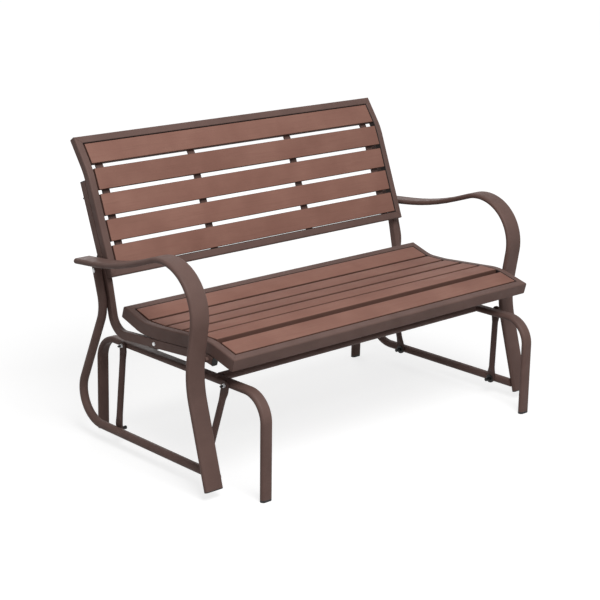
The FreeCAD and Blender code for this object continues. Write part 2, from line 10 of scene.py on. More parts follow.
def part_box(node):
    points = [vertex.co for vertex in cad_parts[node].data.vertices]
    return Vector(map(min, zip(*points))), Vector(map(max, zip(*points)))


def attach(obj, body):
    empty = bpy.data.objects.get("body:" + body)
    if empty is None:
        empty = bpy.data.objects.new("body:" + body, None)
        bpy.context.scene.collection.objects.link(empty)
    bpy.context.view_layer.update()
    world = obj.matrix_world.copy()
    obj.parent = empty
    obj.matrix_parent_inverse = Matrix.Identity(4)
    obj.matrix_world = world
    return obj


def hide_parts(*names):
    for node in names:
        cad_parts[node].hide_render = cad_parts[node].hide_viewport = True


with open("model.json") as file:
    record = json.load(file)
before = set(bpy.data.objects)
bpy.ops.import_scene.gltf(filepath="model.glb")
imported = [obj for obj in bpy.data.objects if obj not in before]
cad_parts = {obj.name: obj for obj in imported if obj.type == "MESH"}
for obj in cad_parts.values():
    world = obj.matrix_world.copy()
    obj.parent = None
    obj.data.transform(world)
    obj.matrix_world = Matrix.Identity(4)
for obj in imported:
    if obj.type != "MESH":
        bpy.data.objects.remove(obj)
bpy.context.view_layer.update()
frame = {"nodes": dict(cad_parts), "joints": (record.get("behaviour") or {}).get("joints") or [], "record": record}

bl_info = {
    "name": "Glider bench",
    "version": (1, 0, 0),
    "blender": (4, 5, 0),
    "location": "3D View > Sidebar > Glider bench",
    "description": "Dresses a porch glider bench of bent steel tube and resin slats",
    "category": "Object",
}

nodes = frame["nodes"]
joint_place = {joint["name"]: Vector(joint["pos_m"]) for joint in frame["joints"]}

ACROSS = Vector((1, 0, 0))
AFT = Vector((0, 1, 0))
UP = Vector((0, 0, 1))
WHITE = (1, 1, 1, 1)
MM = 0.001
SIDES = {"left": -1, "right": 1}

# Outlines in millimetres, as distance behind the seat's front edge and height above the floor
SEAT_OUTLINE = [(0, 394), (110.5, 423.8), (337, 407.3), (405.5, 407.3), (488.4, 434)]
SEAT_BENDS = [180, 250, 120]
BACK_OUTLINE = [(541.1, 507.4), (648.9, 795.7), (712.2, 886.1)]
BACK_BENDS = [200]
ARM_OUTLINE = [(632, 548.4), (436.7, 564.1), (57.3, 692.6), (122.2, 316.7), (42.8, 28)]
ARM_BENDS = [940, 135, 280]
LOOP_OUTLINE = [(605, 548), (566.6, 411.8), (736.9, 52.5), (48, 52.5)]
LOOP_BENDS = [110, 90]
ARCH_OUTLINE = [(692, 6), (683.4, 294.5), (-59.7, 294.5), (-57, 6)]
ARCH_BENDS = [74, 74]
SUPPORT_BENDS = [60, 250]  # behind the seat, then up the back
SUPPORT_TURN_BACK = 545
SUPPORT_RISE, SUPPORT_TOP = 495, 760
SUPPORT_GAP = 0.3  # between a panel's rails and the support tubes
FRONT_PIVOT_BACK = 85
HEAD = 0.004  # height of a frame bolt's head in the CAD, in metres
TOUCH = 1e-4  # points closer than this along a direction are on the same face
HEXAGON, COARSE, FAIR, FINE = 6, 20, 32, 48  # sides of a hexagon, and of round shapes from thin to wide
front_edge = joint_place["glide"].y - FRONT_PIVOT_BACK * MM
panel_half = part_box("seat_side_rail_right")[1].x  # from the middle to a panel's side


# Lines, bends and sections

def unit(start, end):
    length = math.hypot(end[0] - start[0], end[1] - start[1])
    return (end[0] - start[0]) / length, (end[1] - start[1]) / length


def turn_between(first, corner, last):
    before = math.atan2(corner[1] - first[1], corner[0] - first[0])
    after = math.atan2(last[1] - corner[1], last[0] - corner[0])
    return math.atan2(math.sin(after - before), math.cos(after - before))


def shifted(start, end, distance):
    """A line moved to the left of its own direction."""
    along = unit(start, end)
    step = (-along[1] * distance, along[0] * distance)
    return (start[0] + step[0], start[1] + step[1]), (end[0] + step[0], end[1] + step[1])


def meeting(first, second):
    """Where two lines, each given by two points, cross."""
    (ax, ay), (bx, by) = first
    (cx, cy), (dx, dy) = second
    spread = (bx - ax) * (dy - cy) - (by - ay) * (dx - cx)
    share = ((cx - ax) * (dy - cy) - (cy - ay) * (dx - cx)) / spread
    return ax + share * (bx - ax), ay + share * (by - ay)


def offset(outline, bends, distance):
    """A path beside another one, to its left, with its bends' centres kept."""
    lines = [shifted(a, b, distance) for a, b in zip(outline, outline[1:])]
    corners = [meeting(one, other) for one, other in zip(lines, lines[1:])]
    turns = [turn_between(*outline[i:i + 3]) for i in range(len(bends))]
    radii = [bend - distance * math.copysign(1, turn) for bend, turn in zip(bends, turns)]
    return [lines[0][0]] + corners + [lines[-1][1]], radii


def on_line(start, end, axis, value):
    """The point of a line at a distance back, for axis 0, or at a height, for axis 1."""
    share = (value - start[axis]) / (end[axis] - start[axis])
    return tuple(a + (b - a) * share for a, b in zip(start, end))


def place(x, back, height):
    """A point in the bench's frame from millimetres."""
    return Vector((x * MM, front_edge + back * MM, height * MM))


def heading_of(direction):
    return Vector((0, direction[0], direction[1]))


def bent_path(outline, bends, x, step=math.radians(3.5)):
    """Places and headings along straight runs joined by arcs, upright and fore-and-aft."""
    stations = [(place(x, *outline[0]), heading_of(unit(*outline[:2])))]
    for i, bend in enumerate(bends):
        before, corner, after = outline[i:i + 3]
        turn = turn_between(before, corner, after)
        reach = bend * math.tan(abs(turn) / 2)
        into = unit(before, corner)
        start = (corner[0] - into[0] * reach, corner[1] - into[1] * reach)
        sign = math.copysign(1, turn)
        centre = (start[0] - into[1] * bend * sign, start[1] + into[0] * bend * sign)
        spoke = (start[0] - centre[0], start[1] - centre[1])
        count = max(2, math.ceil(abs(turn) / step))
        for k in range(count + 1):
            c, s = math.cos(turn * k / count), math.sin(turn * k / count)
            point = (centre[0] + spoke[0] * c - spoke[1] * s, centre[1] + spoke[0] * s + spoke[1] * c)
            heading = heading_of((into[0] * c - into[1] * s, into[0] * s + into[1] * c))
            stations.append((place(x, *point), heading))
    stations.append((place(x, *outline[-1]), heading_of(unit(*outline[-2:]))))
    return stations


def rounded_section(width, depth, radius, steps=6):
    """Points and outward directions round a rectangle with rounded corners, in metres."""
    radius = min(radius, width / 2 - 1e-5, depth / 2 - 1e-5)
    around = []
    for quarter in range(4):
        corner = (1 if quarter in (0, 3) else -1, 1 if quarter in (0, 1) else -1)
        for k in range(steps + 1):
            angle = math.pi / 2 * (quarter + k / steps)
            c, s = math.cos(angle), math.sin(angle)
            around.append((corner[0] * (width / 2 - radius) + radius * c,
                           corner[1] * (depth / 2 - radius) + radius * s, c, s))
    return around


def round_section(diameter, steps=FAIR):
    turns = [2 * math.pi * k / steps for k in range(steps)]
    spokes = [(math.cos(turn), math.sin(turn)) for turn in turns]
    return [(diameter / 2 * c, diameter / 2 * s, c, s) for c, s in spokes]


def eased_end(stations, radius, at_start=False, steps=4):
    """Rings that round the edge of a path's end, each a place, a heading, an inset and a lean."""
    rings = [(*station, 0, 0) for station in stations]
    if at_start:
        rings.reverse()
    end, heading = rings[-1][:2]
    outward = heading * (-1 if at_start else 1)
    rings[-1] = (end - outward * radius, heading, 0, 0)
    for k in range(1, steps + 1):
        angle = math.pi / 2 * k / steps
        ring = end - outward * radius * (1 - math.sin(angle))
        rings.append((ring, heading, radius * (1 - math.cos(angle)), -angle if at_start else angle))
    return rings[::-1] if at_start else rings


def closed_faces(rings, count):
    """The faces that join rings of points, each to the next, and then those that close both ends."""
    faces = []
    for i in range(0, (rings - 1) * count, count):
        for j in range(count):
            k = (j + 1) % count
            faces.append((i + j, i + count + j, i + count + k, i + k))
    return faces + [tuple(range(count)), tuple(reversed(range((rings - 1) * count, rings * count)))]


def tube_mesh(stations, section, side=ACROSS, start_face=None, end_face=None):
    """A closed tube through the stations, whose end rings may lie in slanted planes."""
    vertices, directions = [], []
    for i, (centre, heading, *edge) in enumerate(stations):
        inset, lean = edge or (0, 0)
        other = side.cross(heading)
        face = start_face if i == 0 else end_face if i == len(stations) - 1 else None
        for a, b, out_a, out_b in section:
            point = centre + side * (a - out_a * inset) + other * (b - out_b * inset)
            if face:
                point += heading * ((face[0] - point).dot(face[1]) / heading.dot(face[1]))
            outward = side * out_a + other * out_b
            vertices.append(point)
            directions.append(outward * math.cos(lean) + heading * math.sin(lean))
    faces = closed_faces(len(stations), len(section))
    corner_directions = [directions[corner] for face in faces[:-2] for corner in face]
    for heading, face in ((-stations[0][1], start_face), (stations[-1][1], end_face)):
        outward = face[1] * math.copysign(1, face[1].dot(heading)) if face else heading
        corner_directions += [outward] * len(section)
    mesh = bpy.data.meshes.new("tube")
    mesh.from_pydata(vertices, [], faces)
    mesh.polygons.foreach_set("use_smooth", [True] * len(faces))
    mesh.normals_split_custom_set(corner_directions)
    mesh.update()
    return mesh


def run_face(start, end, distance, x):
    """The plane beside a straight run, to the left of its direction."""
    line = shifted(start, end, distance)
    along = unit(*line)
    return place(x, *line[0]), Vector((0, -along[1], along[0]))


def in_scene(name, mesh):
    piece = bpy.data.objects.new(name, mesh)
    bpy.context.scene.collection.objects.link(piece)
    return piece


def join_meshes(name, meshes):
    """One mesh from several, with their shading kept."""
    parts = [in_scene(name, mesh) for mesh in meshes]
    with bpy.context.temp_override(active_object=parts[0], object=parts[0], selected_objects=parts,
                                   selected_editable_objects=parts):
        bpy.ops.object.join()
    mesh = parts[0].data
    bpy.data.objects.remove(parts[0])
    return mesh


def evaluated_mesh(piece):
    """A piece's mesh with its modifiers worked in. The piece itself goes."""
    bpy.context.view_layer.update()
    graph = bpy.context.evaluated_depsgraph_get()
    mesh = bpy.data.meshes.new_from_object(piece.evaluated_get(graph), depsgraph=graph)
    bpy.data.objects.remove(piece)
    return mesh


# Materials

def linear(code):
    """A written screen colour as the renderer's linear values."""
    shares = [int(code[i:i + 2], 16) / 255 for i in (1, 3, 5)]
    return [v / 12.92 if v <= 0.04045 else ((v + 0.055) / 1.055) ** 2.4 for v in shares]


def shade_of(colour, share):
    """A colour made darker or lighter by a share, and opaque."""
    return [min(channel * share, 1) for channel in colour[:3]] + [1]


def add(tree, kind, *values, out=None, **settings):
    """Adds a node with its settings, and gives back the output of a name, or else the first one in use.

    Values set or link the inputs in use, in their order, or by name from a dict. A tuple goes to one input.
    """
    node = tree.nodes.new(kind)
    for key, value in settings.items():
        setattr(node, key, value)
    if values and isinstance(values[0], dict):
        pairs = [(node.inputs[name], value) for name, value in values[0].items()]
    else:
        pairs = list(zip([socket for socket in node.inputs if socket.enabled], values))
    for socket, value in pairs:
        for one in value if socket.is_multi_input else [value]:
            if isinstance(one, bpy.types.NodeSocket):
                tree.links.new(one, socket)
            elif one is not None:
                socket.default_value = one
    return node.outputs[out] if out else next((socket for socket in node.outputs if socket.enabled), None)


def new_material(name):
    """A material with an empty tree, and the place in it of the point that is shaded."""
    material = bpy.data.materials.new(name)
    material.use_nodes = True
    material.node_tree.nodes.clear()
    return material, material.node_tree, add(material.node_tree, "ShaderNodeTexCoord", out="Object")


def finish_material(tree, look):
    add(tree, "ShaderNodeOutputMaterial", add(tree, "ShaderNodeBsdfPrincipled", look))


def spots(tree, where, size, low, high, span=(0.3, 0.7), **look):
    """Soft spots of about a size in metres, from a low value to a high one over a span of the noise."""
    cloud = add(tree, "ShaderNodeTexNoise", {"Vector": where, "Scale": 1 / size, "Detail": 3.0, **look})
    return add(tree, "ShaderNodeMapRange", cloud, *span, low, high)


def powder_coat(name, colour, roughness):
    """Powder-coated steel: dry polyester powder sprayed on the welded tubes and baked until it flows.

    The eye gets a satin skin with a fine pebble, soft drifts in tone where the coat is thicker, and a few
    lighter grains. On the faces towards the boards the colour is drawn nearly black as painted shade, for
    the shade that the boards cast there, so that a dark line goes round them. The real pebble is about
    0.6 mm across and the grains 0.2 mm. They are drawn at 1.6 mm and 1.1 mm, because they would not show
    in a render of the whole bench.
    """
    material, tree, spot = new_material(name)
    drift = spots(tree, spot, 0.09, 0, 1)
    thin, thick = shade_of(colour, 0.88), shade_of(colour, 1.12)
    tone = add(tree, "ShaderNodeMix", drift, thin, thick, data_type="RGBA")
    grain = spots(tree, spot, 0.0011, 0, 0.2, span=(0.6, 0.72), Detail=1.0)
    coat = add(tree, "ShaderNodeMix", grain, tone, shade_of(colour, 2.0), data_type="RGBA")
    # painted shade: the rails' faces towards the boards are drawn nearly black, for the shade that the boards cast
    # there
    recess = add(tree, "ShaderNodeAttribute", attribute_name="recess", out="Fac")
    painted_shade_mask = add(tree, "ShaderNodeMapRange", recess, 0.35, 0.7, 0, 1)
    pebble = add(tree, "ShaderNodeTexNoise", {"Vector": spot, "Scale": 1 / 0.0016, "Detail": 2.0})
    finish_material(tree, {
        "Base Color": add(tree, "ShaderNodeMix", painted_shade_mask, coat, shade_of(colour, 0.16), data_type="RGBA"),
        "Roughness": spots(tree, spot, 0.03, roughness - 0.05, roughness + 0.06),
        "Specular IOR Level": 0.24,
        "Normal": add(tree, "ShaderNodeBump", {"Height": pebble, "Distance": 0.00012, "Strength": 0.5})})
    return material


def resin_board(name, colour, dark, light):
    """Polyethylene lumber: a coloured mix extruded as a board and pressed with a grain by a roller.

    The eye gets a dull, slightly waxy face with low flames and lines along the board, soft clouds where
    the mix is uneven, and a tone of its own for each board. The narrow edges are drawn darker as painted
    shade, for the shade in the gaps between the boards. The real grain lines are 1 to 2 mm wide and 0.2 mm
    deep, and are drawn at 2.2 mm so that they show. The flames are 12 mm wide, as on sawn boards.
    """
    material, tree, spot = new_material(name)
    board = add(tree, "ShaderNodeAttribute", attribute_name="board", out="Fac")
    shift = add(tree, "ShaderNodeVectorMath", (3.17, 1.31, 0.73), board, operation="SCALE")
    own = add(tree, "ShaderNodeVectorMath", spot, shift, operation="ADD")
    drawn = add(tree, "ShaderNodeMapping", {"Vector": own, "Scale": (0.07, 1, 1)})
    drawn_far = add(tree, "ShaderNodeMapping", {"Vector": own, "Scale": (0.02, 1, 1)})
    grain = {"Detail": 4.0, "Roughness": 0.6, "Distortion": 1.6}
    flame = add(tree, "ShaderNodeTexNoise", {"Vector": drawn, "Scale": 1 / 0.012, **grain})
    line = add(tree, "ShaderNodeTexNoise",
               {"Vector": drawn_far, "Scale": 1 / 0.0022, "Detail": 3.0, "Roughness": 0.6})
    cloud = spots(tree, own, 0.13, 0, 1, span=(0.32, 0.68))
    tone = add(tree, "ShaderNodeMix", cloud, dark, light, data_type="RGBA")
    in_flame = add(tree, "ShaderNodeMapRange", flame, 0.35, 0.7, 0, 0.5)
    tone = add(tree, "ShaderNodeMix", in_flame, tone, colour, data_type="RGBA")
    in_line = add(tree, "ShaderNodeMapRange", line, 0.52, 0.72, 0, 0.3)
    tone = add(tree, "ShaderNodeMix", in_line, tone, shade_of(dark, 0.74), data_type="RGBA")
    own_tone = add(tree, "ShaderNodeTexWhiteNoise", board, noise_dimensions="1D")
    level = add(tree, "ShaderNodeMapRange", own_tone, 0, 1, 0.96, 1.04)
    toned = add(tree, "ShaderNodeHueSaturation", {"Color": tone, "Value": level})
    # painted shade: the boards' narrow edges are drawn darker, for the shade in the gaps between the boards
    edge = add(tree, "ShaderNodeAttribute", attribute_name="edge", out="Fac")
    painted_gap_shade = add(tree, "ShaderNodeMapRange", edge, 0, 1, 0, 0.8)
    embossed = add(tree, "ShaderNodeBump", {"Height": flame, "Distance": 0.0004, "Strength": 0.45})
    finish_material(tree, {
        "Base Color": add(tree, "ShaderNodeMix", painted_gap_shade, toned, shade_of(dark, 0.3), data_type="RGBA"),
        "Roughness": add(tree, "ShaderNodeMapRange", flame, 0.3, 0.7, 0.6, 0.76),
        "Specular IOR Level": 0.22,
        "Normal": add(tree, "ShaderNodeBump",
                      {"Height": line, "Distance": 0.0003, "Strength": 0.5, "Normal": embossed})})
    return material


def moulded_plastic(name, colour, roughness, grain):
    """Injection-moulded plastic: black polypropylene in the end caps, nylon in the bushes.

    The eye gets a dark, even body with the dull leather-like grain of an etched mould and soft changes of
    sheen. Real mould grain is 0.3 to 0.5 mm, and is drawn at 1.2 or 2 mm so that it shows.
    """
    material, tree, spot = new_material(name)
    mottle = spots(tree, spot, 0.01, 0, 1, span=(0.35, 0.65))
    cells = add(tree, "ShaderNodeTexVoronoi", {"Vector": spot, "Scale": 1 / grain}, feature="SMOOTH_F1")
    finish_material(tree, {
        "Base Color": add(tree, "ShaderNodeMix", mottle, colour, shade_of(colour, 1.6), data_type="RGBA"),
        "Roughness": spots(tree, spot, 0.006, roughness - 0.06, roughness + 0.06),
        "Normal": add(tree, "ShaderNodeBump", {"Height": cells, "Distance": 0.00008, "Strength": 0.6})})
    return material


def plated_steel(name, colour, roughness):
    """Zinc-plated steel: bolts and nuts tumbled in a plating bath.

    The eye gets a bright bluish silver with faint clouds where the crystals differ, and small scuffs from
    tumbling. The scuffs are really 0.2 mm wide and are drawn at 0.6 mm.
    """
    material, tree, spot = new_material(name)
    cloud = spots(tree, spot, 0.004, 0, 1)
    scuffs = add(tree, "ShaderNodeTexNoise", {"Vector": spot, "Scale": 1 / 0.0006, "Detail": 3.0})
    finish_material(tree, {
        "Base Color": add(tree, "ShaderNodeMix", cloud, shade_of(colour, 0.84), colour, data_type="RGBA"),
        "Metallic": 1.0,
        "Roughness": spots(tree, spot, 0.0025, roughness - 0.06, roughness + 0.1),
        "Normal": add(tree, "ShaderNodeBump", {"Height": scuffs, "Distance": 0.00003, "Strength": 0.5})})
    return material


def blackened_steel(name, colour, roughness):
    """Black oxide on turned steel: a hot salt bath darkens the metal and leaves its tool marks.

    The eye gets a near-black, faintly oily metal, a little lighter where it has been rubbed. The tool marks
    are really 0.1 mm apart and are drawn at 0.9 mm.
    """
    material, tree, spot = new_material(name)
    rubbed = spots(tree, spot, 0.005, 0, 0.4, span=(0.55, 0.75), Detail=4.0)
    marks = add(tree, "ShaderNodeTexNoise", {"Vector": spot, "Scale": 1 / 0.0009, "Detail": 3.0})
    finish_material(tree, {
        "Base Color": add(tree, "ShaderNodeMix", rubbed, colour, shade_of(colour, 2.4), data_type="RGBA"),
        "Metallic": 0.3,
        "Roughness": spots(tree, spot, 0.003, roughness - 0.05, roughness + 0.08),
        "Normal": add(tree, "ShaderNodeBump", {"Height": marks, "Distance": 0.00004, "Strength": 0.5})})
    return material


finishes = {}


def dress(name, mesh, body, finish, *replaced):
    """A new piece on a body, in a finish, in place of CAD nodes."""
    piece = in_scene(name, mesh)
    mesh.materials.clear()
    mesh.materials.append(finishes[finish])
    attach(piece, body)
    if replaced:
        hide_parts(*replaced)
    return piece


# Geometry Nodes for what repeats

def new_tree(name, lengths):
    """A node tree that takes points, named lengths and a material, and gives back geometry."""
    tree = bpy.data.node_groups.new(name, "GeometryNodeTree")
    sockets = tree.interface
    sockets.new_socket("Geometry", in_out="INPUT", socket_type="NodeSocketGeometry")
    for label, value in lengths.items():
        sockets.new_socket(label, in_out="INPUT", socket_type="NodeSocketFloat").default_value = value
    sockets.new_socket("Material", in_out="INPUT", socket_type="NodeSocketMaterial")
    sockets.new_socket("Geometry", in_out="OUTPUT", socket_type="NodeSocketGeometry")
    return tree, add(tree, "NodeGroupInput").node.outputs


def close_tree(tree, entry, *shapes):
    """Copies shapes to every point, turned as the point says, and makes them real in their material."""
    whole = add(tree, "GeometryNodeJoinGeometry", shapes)
    turn = add(tree, "GeometryNodeInputNamedAttribute", "turn", data_type="FLOAT_VECTOR")
    copies = add(tree, "GeometryNodeInstanceOnPoints",
                 {"Points": entry["Geometry"], "Instance": whole, "Rotation": turn})
    real = add(tree, "GeometryNodeRealizeInstances", copies)
    add(tree, "NodeGroupOutput", add(tree, "GeometryNodeSetMaterial", real, None, entry["Material"]))
    return tree


def board_tree():
    """Boards with rounded edges, each along its own X, whose narrow edges are marked for the material's painted
    shade.
    """
    tree, entry = new_tree("Boards", {
        "Length": 1.0, "Width": 0.06, "Thickness": 0.016, "Edge rounding": 0.003})
    outline = add(tree, "GeometryNodeCurvePrimitiveQuadrilateral", entry["Width"], entry["Thickness"])
    rounded = add(tree, "GeometryNodeFilletCurve", outline, 6, entry["Edge rounding"], mode="POLY")
    reaches = [add(tree, "ShaderNodeMath", entry["Length"], share, operation="MULTIPLY")
               for share in (-0.5, 0.5)]
    ends = [add(tree, "ShaderNodeCombineXYZ", reach) for reach in reaches]
    line = add(tree, "GeometryNodeCurvePrimitiveLine", *ends)
    board = add(tree, "GeometryNodeCurveToMesh", line, rounded, None, True)
    spot = add(tree, "ShaderNodeSeparateXYZ", add(tree, "GeometryNodeInputPosition"), out="Y")
    beside = add(tree, "ShaderNodeMath", spot, operation="ABSOLUTE")
    side = add(tree, "ShaderNodeMath", entry["Width"], 0.5, operation="MULTIPLY")
    flat = add(tree, "ShaderNodeMath", side, entry["Edge rounding"], operation="SUBTRACT")
    # marks the narrow edges, on which the material paints the shade of the gaps
    edge = add(tree, "ShaderNodeMapRange", beside, flat, side, 0, 1)
    marked = add(tree, "GeometryNodeStoreNamedAttribute", board, None, "edge", edge,
                 data_type="FLOAT", domain="POINT")
    return close_tree(tree, entry, marked)


def disc(tree, sides, radius, depth, lift):
    """A many-sided disc along Z whose lower face is at a height."""
    shape = add(tree, "GeometryNodeMeshCylinder", sides, None, None, radius, depth, fill_type="NGON")
    half = add(tree, "ShaderNodeMath", depth, 0.5, operation="MULTIPLY")
    height = add(tree, "ShaderNodeMath", half, lift, operation="ADD")
    return add(tree, "GeometryNodeTransform", shape, add(tree, "ShaderNodeCombineXYZ", None, None, height))


def taper(tree, sides, radius, share, depth, lift):
    """A short cone along Z that narrows to a share of its radius, as a head's chamfer or a knob's crown."""
    narrow = add(tree, "ShaderNodeMath", radius, share, operation="MULTIPLY")
    shape = add(tree, "GeometryNodeMeshCone", sides, None, None, narrow, radius, depth, fill_type="NGON")
    return add(tree, "GeometryNodeTransform", shape, add(tree, "ShaderNodeCombineXYZ", None, None, lift))


def shank_below(tree, entry):
    down = add(tree, "ShaderNodeMath", entry["Shank"], -1.0, operation="MULTIPLY")
    return disc(tree, COARSE, entry["Shank radius"], entry["Shank"], down)


def hexagon_tree():
    """A hexagon head or nut on a pressed flange, with a chamfered top and a shank below."""
    tree, entry = new_tree("Hexagon heads", {
        "Corner radius": 0.0055, "Height": 0.003, "Chamfer": 0.0008, "Flange radius": 0.0062,
        "Flange": 0.0007, "Shank radius": 0.003, "Shank": 0.02})
    flange = disc(tree, FAIR, entry["Flange radius"], entry["Flange"], 0.0)
    body = disc(tree, HEXAGON, entry["Corner radius"], entry["Height"], entry["Flange"])
    top = add(tree, "ShaderNodeMath", entry["Height"], entry["Flange"], operation="ADD")
    crown = taper(tree, HEXAGON, entry["Corner radius"], share=0.82, depth=entry["Chamfer"], lift=top)
    return close_tree(tree, entry, flange, body, crown, shank_below(tree, entry))


def round_head_tree():
    """A flange with a crowned knob in its middle and a shank below."""
    tree, entry = new_tree("Round heads", {
        "Flange radius": 0.013, "Flange": 0.0018, "Knob radius": 0.005, "Knob": 0.006,
        "Shank radius": 0.004, "Shank": 0.003})
    flange = disc(tree, FINE, entry["Flange radius"], entry["Flange"], 0.0)
    slope = taper(tree, FINE, entry["Flange radius"], share=0.9, depth=0.0007, lift=entry["Flange"])
    knob = disc(tree, FAIR, entry["Knob radius"], entry["Knob"], entry["Flange"])
    peak = add(tree, "ShaderNodeMath", entry["Flange"], entry["Knob"], operation="ADD")
    crown = taper(tree, FAIR, entry["Knob radius"], share=0.72, depth=0.0009, lift=peak)
    return close_tree(tree, entry, flange, slope, knob, crown, shank_below(tree, entry))


def thread_tree():
    """A stud along Z: a plain shoulder, then a thread drawn as rings that are wide and narrow in turn."""
    tree, entry = new_tree("Thread ends", {
        "Shoulder radius": 0.004, "Shoulder": 0.007, "Thread radius": 0.003, "Thread": 0.012,
        "Pitch": 0.001})
    shoulder = disc(tree, FAIR, entry["Shoulder radius"], entry["Shoulder"], 0.0)
    top = add(tree, "ShaderNodeMath", entry["Shoulder"], entry["Thread"], operation="ADD")
    ends = (add(tree, "ShaderNodeCombineXYZ", None, None, height) for height in (entry["Shoulder"], top))
    line = add(tree, "GeometryNodeCurvePrimitiveLine", *ends)
    turns = add(tree, "ShaderNodeMath", entry["Thread"], entry["Pitch"], operation="DIVIDE")
    whole = add(tree, "ShaderNodeMath", turns, operation="ROUND")
    rings = add(tree, "ShaderNodeMath", whole, 2.0, operation="MULTIPLY")
    spine = add(tree, "GeometryNodeResampleCurve", line, None, rings)
    odd = add(tree, "ShaderNodeMath", add(tree, "GeometryNodeInputIndex"), 2.0, operation="MODULO")
    groove = -0.14  # what every second ring is narrower by, as a share of the radius
    width = add(tree, "ShaderNodeMath", odd, groove, 1.0, operation="MULTIPLY_ADD")
    outline = add(tree, "GeometryNodeCurvePrimitiveCircle", COARSE, entry["Thread radius"])
    thread = add(tree, "GeometryNodeCurveToMesh", spine, outline, width, True)
    return close_tree(tree, entry, shoulder, thread)


def ring_tree():
    """A plain bush: a tube section along Z, centred on its point."""
    tree, entry = new_tree("Bushes", {"Outside radius": 0.006, "Bore radius": 0.004, "Length": 0.0066})
    outside, bore = entry["Outside radius"], entry["Bore radius"]
    both = add(tree, "ShaderNodeMath", outside, bore, operation="ADD")
    middle = add(tree, "ShaderNodeMath", both, 0.5, operation="MULTIPLY")
    circle = add(tree, "GeometryNodeCurvePrimitiveCircle", FINE, middle)
    wall = add(tree, "ShaderNodeMath", outside, bore, operation="SUBTRACT")
    outline = add(tree, "GeometryNodeCurvePrimitiveQuadrilateral", wall, entry["Length"])
    edge = add(tree, "GeometryNodeFilletCurve", outline, 2, 0.0003, mode="POLY")
    return close_tree(tree, entry, add(tree, "GeometryNodeCurveToMesh", circle, edge))


def ease_ends(mesh, radius):
    """Rounds the edges of the boards' end faces, the only ones in the mesh with more than four corners."""
    work = bmesh.new()
    work.from_mesh(mesh)
    ends = [face for face in work.faces if len(face.verts) > 4]
    edges = list({edge for face in ends for edge in face.edges})
    bmesh.ops.bevel(work, geom=edges, offset=radius, segments=2, profile=0.5, affect="EDGES")
    work.to_mesh(mesh)
    work.free()


def repeat(name, tree, sites, lengths, body, finish, *replaced, end_rounding=0):
    """Runs a tree on a set of sites, each a place and a turn, and keeps the result as a plain mesh."""
    mesh = bpy.data.meshes.new(name)
    mesh.from_pydata([site for site, _ in sites], [], [])
    mesh.attributes.new("turn", "FLOAT_VECTOR", "POINT")
    mesh.attributes.new("board", "FLOAT", "POINT")
    for i, (_, rotation) in enumerate(sites):
        mesh.attributes["turn"].data[i].vector = rotation.to_euler()
        mesh.attributes["board"].data[i].value = i + 1
    maker = in_scene(name + "_points", mesh)
    modifier = maker.modifiers.new("Repeat", "NODES")
    modifier.node_group = tree
    values = {**lengths, "Material": finishes[finish]}
    for item in tree.interface.items_tree:
        if item.in_out == "INPUT" and item.name in values:
            modifier[item.identifier] = values[item.name]
    result = evaluated_mesh(maker)
    if end_rounding:
        ease_ends(result, end_rounding)
    return dress(name, result, body, finish, *replaced)


def facing(direction):
    """The turn that takes +Z to a direction."""
    return Vector(direction).to_track_quat("Z", "Y")


# Where the CAD has its small pieces

def islands(node):
    """The points of each solid in a CAD node."""
    copy = bmesh.new()
    copy.from_mesh(nodes[node].data)
    bmesh.ops.remove_doubles(copy, verts=copy.verts, dist=1e-6)
    seen, groups = set(), []
    for first in copy.verts:
        if first in seen:
            continue
        stack, group = [first], []
        seen.add(first)
        while stack:
            vertex = stack.pop()
            group.append(vertex.co.copy())
            for other in (edge.other_vert(vertex) for edge in vertex.link_edges):
                if other not in seen:
                    seen.add(other)
                    stack.append(other)
        groups.append(group)
    copy.free()
    return groups


def extent(points):
    """The lowest and highest corner of a set of points, and the middle between them."""
    cloud = numpy.array([tuple(point) for point in points])
    low, high = cloud.min(0), cloud.max(0)
    return Vector(low), Vector(high), Vector((low + high) / 2)


def long_axis(points):
    """The middle and the long direction of a set of points."""
    cloud = numpy.array([tuple(point) for point in points])
    direction = numpy.linalg.svd(cloud - cloud.mean(0))[2][0]
    return extent(points)[2], Vector(direction).normalized()


def far_face(points, direction):
    """The middle of the points that lie furthest in a direction."""
    reach = max(point.dot(direction) for point in points)
    face = [point for point in points if point.dot(direction) > reach - TOUCH]
    return sum(face, Vector()) / len(face)


def head_of(points):
    """The top of a bolt's head, the way that it points, and the bolt's length."""
    middle, direction = long_axis(points)
    reaches = [(point - middle).dot(direction) for point in points]
    low, high = min(reaches), max(reaches)
    wide = {}
    for end in (low, high):
        wide[end] = max(((point - middle) - direction * reach).length
                        for point, reach in zip(points, reaches) if abs(reach - end) < TOUCH)
    if wide[low] > wide[high]:
        direction = -direction
    return far_face(points, direction), direction, high - low


def sites_across(node, way):
    """For each solid of a node, a site at its end nearest the bench's middle, looking outwards.

    A way of -1 puts it at the solid's outer end, looking inwards.
    """
    sites = []
    for points in islands(node):
        low, high, middle = extent(points)
        look = math.copysign(1, middle.x) * way
        sites.append((Vector((low.x if look > 0 else high.x, middle.y, middle.z)), facing(ACROSS * look)))
    return sites


# Sizes and colours that a user would change

def length(name, description, value):
    return bpy.props.FloatProperty(name=name, description=description, default=value, unit="LENGTH", min=0.0)


def colour(name, description, code):
    return bpy.props.FloatVectorProperty(name=name, description=description, default=linear(code),
                                         subtype="COLOR", size=3, min=0, max=1)


